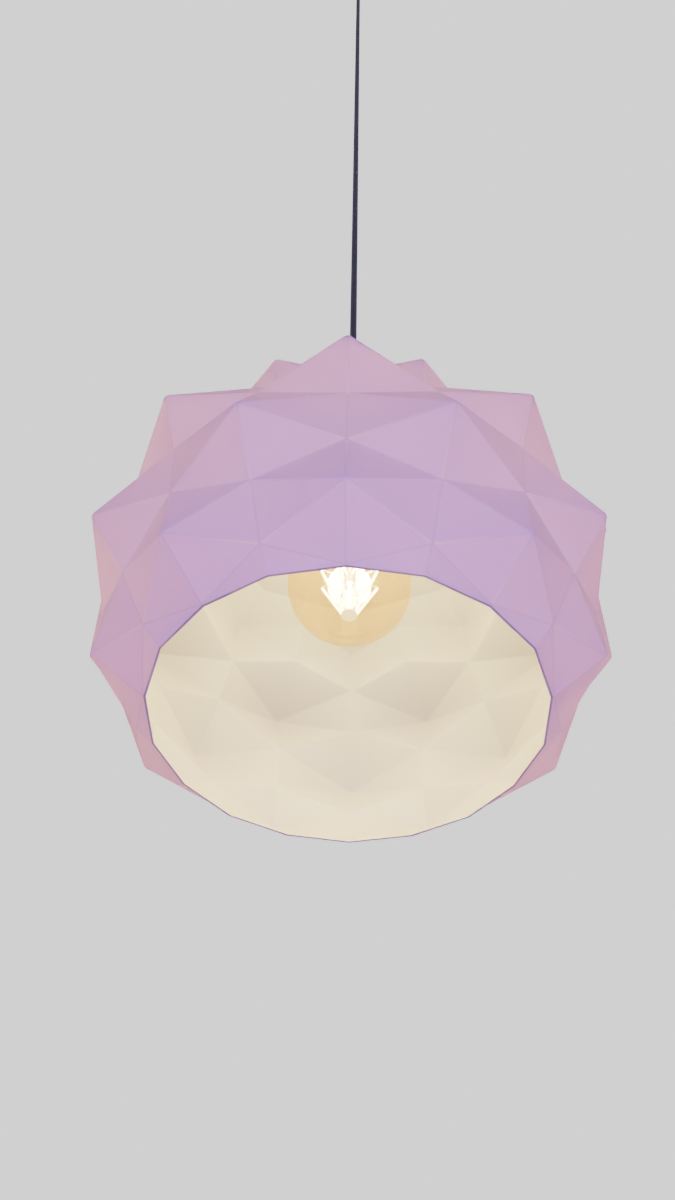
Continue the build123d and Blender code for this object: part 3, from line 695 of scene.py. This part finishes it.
class PENDANT_OT_cord(bpy.types.Operator):
    """Make the cord, pulled straight by the lamp's weight"""
    bl_idname = "pendant.cord"
    bl_label = "Cord"

    def execute(self, context):
        own = settings("cord")
        start, end = high("cord_run"), low("cord_run")
        route = [(0.0, 0.0, start), (0.0, 0.0, start * 0.75 + end * 0.25),
                 (0.0, 0.0, (start + end) / 2), (0.0, 0.0, start * 0.25 + end * 0.75),
                 (0.0, 0.0, end)]
        curve = bpy.data.curves.new("cord", "CURVE")
        curve.dimensions = "3D"
        curve.bevel_depth = own.diameter / 2
        curve.bevel_resolution = 6
        curve.resolution_u = 12
        curve.use_fill_caps = True
        line = curve.splines.new("NURBS")
        line.points.add(len(route) - 1)
        for point, place in zip(line.points, route):
            point.co = (*place, 1.0)
        line.order_u = 3
        line.use_endpoint_u = True
        yarn = braided_yarn()
        curve.materials.append(yarn)
        cord = bpy.data.objects.new("textile_cord", curve)
        bpy.context.scene.collection.objects.link(cord)
        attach(cord, "pendant")
        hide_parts("cord_run")
        for name in ("cord_bend_upper", "cord_bend_lower", "cord_lead"):
            dress(name, yarn)
        return {"FINISHED"}


def dress(node_name, material):
    """Give a CAD node its material."""
    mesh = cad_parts[node_name].data
    mesh.materials.clear()
    mesh.materials.append(material)


class PENDANT_OT_inner_parts(bpy.types.Operator):
    """Give the small parts inside the fitting, the holder and the bulb their materials"""
    bl_idname = "pendant.inner_parts"
    bl_label = "Inner parts"

    def execute(self, context):
        zinc = metal("zinc_plated_steel", linear("#B9BCC0"), linear("#A8A596"), 0.3, 0.5 * MM)
        brass = metal("brass_drawn", linear("#C9A35C"), linear("#9C7A3E"), 0.28, 0.4 * MM)
        white = moulded_plastic("polyamide_white_moulded", linear("#E4E1D8"), 0.45)
        finishes = [
            (zinc, ["mounting_bracket", "cup_screws", "terminal_screws", "block_screws",
                    "gland_nut", "gland_screw", "grip_screw", "grip_nut", "holder_screws"]),
            (brass, ["terminal_sleeves", "screw_shell", "centre_contact", "side_contact"]),
            (white, ["terminal_block"]),
            (core_insulation(), ["lead_cores", "holder_cores"]),
            (speckled("steatite_fired", linear("#E6DFD0"), linear("#CFC6B4"), 0.8 * MM, 0.55),
             ["contact_carrier"]),
            (speckled("vulcanised_fibre_pressed", linear("#8E4A38"), linear("#6F3629"),
                      0.7 * MM, 0.7), ["ring_washer"]),
            (speckled("glass_black_vitrified", linear("#141318"), linear("#24222B"), 1.5 * MM,
                      0.12), ["bulb_insulator"]),
            (speckled("circuit_board_laminated", linear("#D9DCC8"), linear("#A9B391"), 0.6 * MM,
                      0.4), ["bulb_driver"]),
            (metal("solder_cast", linear("#A9A8A6"), linear("#8B8987"), 0.4, 0.6 * MM),
             ["bulb_tip"]),
            (lit_wire(), ["bulb_supports"]),
        ]
        for material, names in finishes:
            for name in names:
                dress(name, material)
        return {"FINISHED"}


def add_light(name, kind, place, energy, colour, **values):
    """A light that isn't seen itself, aimed at the shade."""
    light = bpy.data.lights.new(name, kind)
    light.energy = energy
    light.color = colour
    for key, value in values.items():
        setattr(light, key, value)
    made = bpy.data.objects.new(name, light)
    bpy.context.scene.collection.objects.link(made)
    target = Vector((0.0, 0.0, (low("shade") + high("shade")) / 2))
    made.location = place
    made.rotation_mode = "QUATERNION"
    made.rotation_quaternion = (target - Vector(place)).to_track_quat("-Z", "Y")
    made.visible_camera = False
    return made


class PENDANT_OT_stage(bpy.types.Operator):
    """Make the floor, the lights and the camera"""
    bl_idname = "pendant.stage"
    bl_label = "Stage"

    def execute(self, context):
        own = settings("stage")
        self.floor(own)
        self.surroundings(own)
        bulb = settings("bulb")
        centre = low("bulb_glass") + reach("bulb_glass")
        add_light("bulb_light", "POINT", (0.0, 0.0, centre), bulb.power, linear("#FFFBCC"),
                  shadow_soft_size=18 * MM)
        add_light("soft_low", "AREA", (0.1, -1.5, -3.0), 16.0, linear("#B0A4FF"), size=1.4,
                  spread=radians(90))
        add_light("soft_front", "AREA", (0.0, -2.4, -1.9), 3.0, linear("#FFFFFF"), size=1.4)
        add_light("soft_right", "AREA", (1.6, -0.6, -2.9), 1.5, linear("#FFFDEF"), size=1.4,
                  spread=radians(90))
        add_light("soft_back", "AREA", (-0.6, 2.6, -0.9), 10.0, linear("#FFF4F0"), size=1.8)
        self.camera(own)
        return {"FINISHED"}

    def floor(self, own):
        """A round pale floor under the lamp."""
        material, tree = new_material("painted_floor")
        place = node(tree, "TexCoord").outputs["Object"]
        cloud = node(tree, "TexNoise", {"Vector": place, "Scale": 1 / (400 * MM), "Detail": 4.0})
        colour = blend_colour(tree, cloud.outputs["Fac"], rgb(own.floor),
                              shaded(rgb(own.floor), 0.96))
        body = node(tree, "BsdfPrincipled", {"Base Color": colour, "Roughness": 0.8})
        # The camera sees a paler floor than the one that lights the lamp
        seen = node(tree, "LightPath").outputs["Is Camera Ray"]
        lift = node(tree, "Math", {0: seen, 1: FLOOR_LIFT}, operation="MULTIPLY").outputs[0]
        pale = node(tree, "Emission", {"Color": colour, "Strength": lift})
        both = node(tree, "AddShader", {0: body.outputs[0], 1: pale.outputs[0]})
        output(tree, both.outputs[0])
        shape = bmesh.new()
        bmesh.ops.create_circle(shape, cap_ends=True, segments=96,
                                radius=FLOOR_RADIUS,
                                matrix=Matrix.Translation((0, 0, -FLOOR_DROP)))
        mesh = bpy.data.meshes.new("floor")
        shape.to_mesh(mesh)
        shape.free()
        mesh.materials.append(material)
        floor = bpy.data.objects.new("floor", mesh)
        bpy.context.scene.collection.objects.link(floor)

    def surroundings(self, own):
        """Even pale surroundings."""
        world = bpy.data.worlds.new("studio")
        world.use_nodes = True
        world.node_tree.nodes.clear()
        tree = world.node_tree
        fill = node(tree, "Background", {"Color": rgb(own.fill), "Strength": FILL})
        backdrop = node(tree, "Background", {"Color": rgb(own.sky), "Strength": BACKDROP})
        seen = node(tree, "LightPath").outputs["Is Camera Ray"]
        sky = node(tree, "MixShader", {0: seen, 1: fill.outputs[0], 2: backdrop.outputs[0]})
        node(tree, "OutputWorld", {"Surface": sky.outputs[0]})
        bpy.context.scene.world = world

    def camera(self, own):
        """The photograph's camera: below and in front of the lamp, looking up at it."""
        data = bpy.data.cameras.new("camera")
        data.lens = own.focal
        data.sensor_width = 36.0
        data.clip_start = 0.05
        data.clip_end = 50.0
        data.dof.use_dof = False
        camera = bpy.data.objects.new("camera", data)
        bpy.context.scene.collection.objects.link(camera)
        yaw, pitch, roll = radians(CAMERA_YAW), radians(CAMERA_PITCH), radians(CAMERA_ROLL)
        ahead = Vector((sin(yaw) * cos(pitch), cos(yaw) * cos(pitch), sin(pitch)))
        right = Vector((cos(yaw), -sin(yaw), 0.0))
        up = right.cross(ahead)
        axes = Matrix((cos(roll) * right + sin(roll) * up, cos(roll) * up - sin(roll) * right,
                       -ahead)).transposed()
        place = (CAMERA_SIDE, -CAMERA_AWAY, low("shade") - CAMERA_BELOW)
        camera.matrix_world = Matrix.Translation(place) @ axes.to_4x4()
        bpy.context.scene.camera = camera


GROUPS = {"shade": ShadeSettings, "bulb": BulbSettings, "fitting": FittingSettings,
          "cord": CordSettings, "stage": StageSettings}
OPERATORS = (PENDANT_OT_cord, PENDANT_OT_shade, PENDANT_OT_bulb, PENDANT_OT_holder,
             PENDANT_OT_ceiling, PENDANT_OT_inner_parts, PENDANT_OT_stage)


class PENDANT_PT_lamp(bpy.types.Panel):
    """The lamp's pieces and their settings"""
    bl_idname = "PENDANT_PT_lamp"
    bl_label = "Pendant Lamp"
    bl_space_type = "VIEW_3D"
    bl_region_type = "UI"
    bl_category = "Pendant Lamp"

    def draw(self, context):
        for name, group in GROUPS.items():
            box = self.layout.box()
            box.label(text=name.capitalize())
            for prop in group.__annotations__:
                box.prop(settings(name), prop)
        for operator in OPERATORS:
            self.layout.operator(operator.bl_idname)


def register():
    for name, group in GROUPS.items():
        bpy.utils.register_class(group)
        setattr(bpy.types.Scene, "pendant_" + name, bpy.props.PointerProperty(type=group))
    for operator in OPERATORS:
        bpy.utils.register_class(operator)
    bpy.utils.register_class(PENDANT_PT_lamp)


def unregister():
    bpy.utils.unregister_class(PENDANT_PT_lamp)
    for operator in reversed(OPERATORS):
        bpy.utils.unregister_class(operator)
    for name, group in GROUPS.items():
        delattr(bpy.types.Scene, "pendant_" + name)
        bpy.utils.unregister_class(group)


def main():
    """Make the lamp and its stage."""
    register()
    bpy.ops.pendant.cord()
    bpy.ops.pendant.shade()
    bpy.ops.pendant.bulb()
    bpy.ops.pendant.holder()
    bpy.ops.pendant.ceiling()
    bpy.ops.pendant.inner_parts()
    bpy.ops.pendant.stage()


if __name__ == "__main__":
    main()
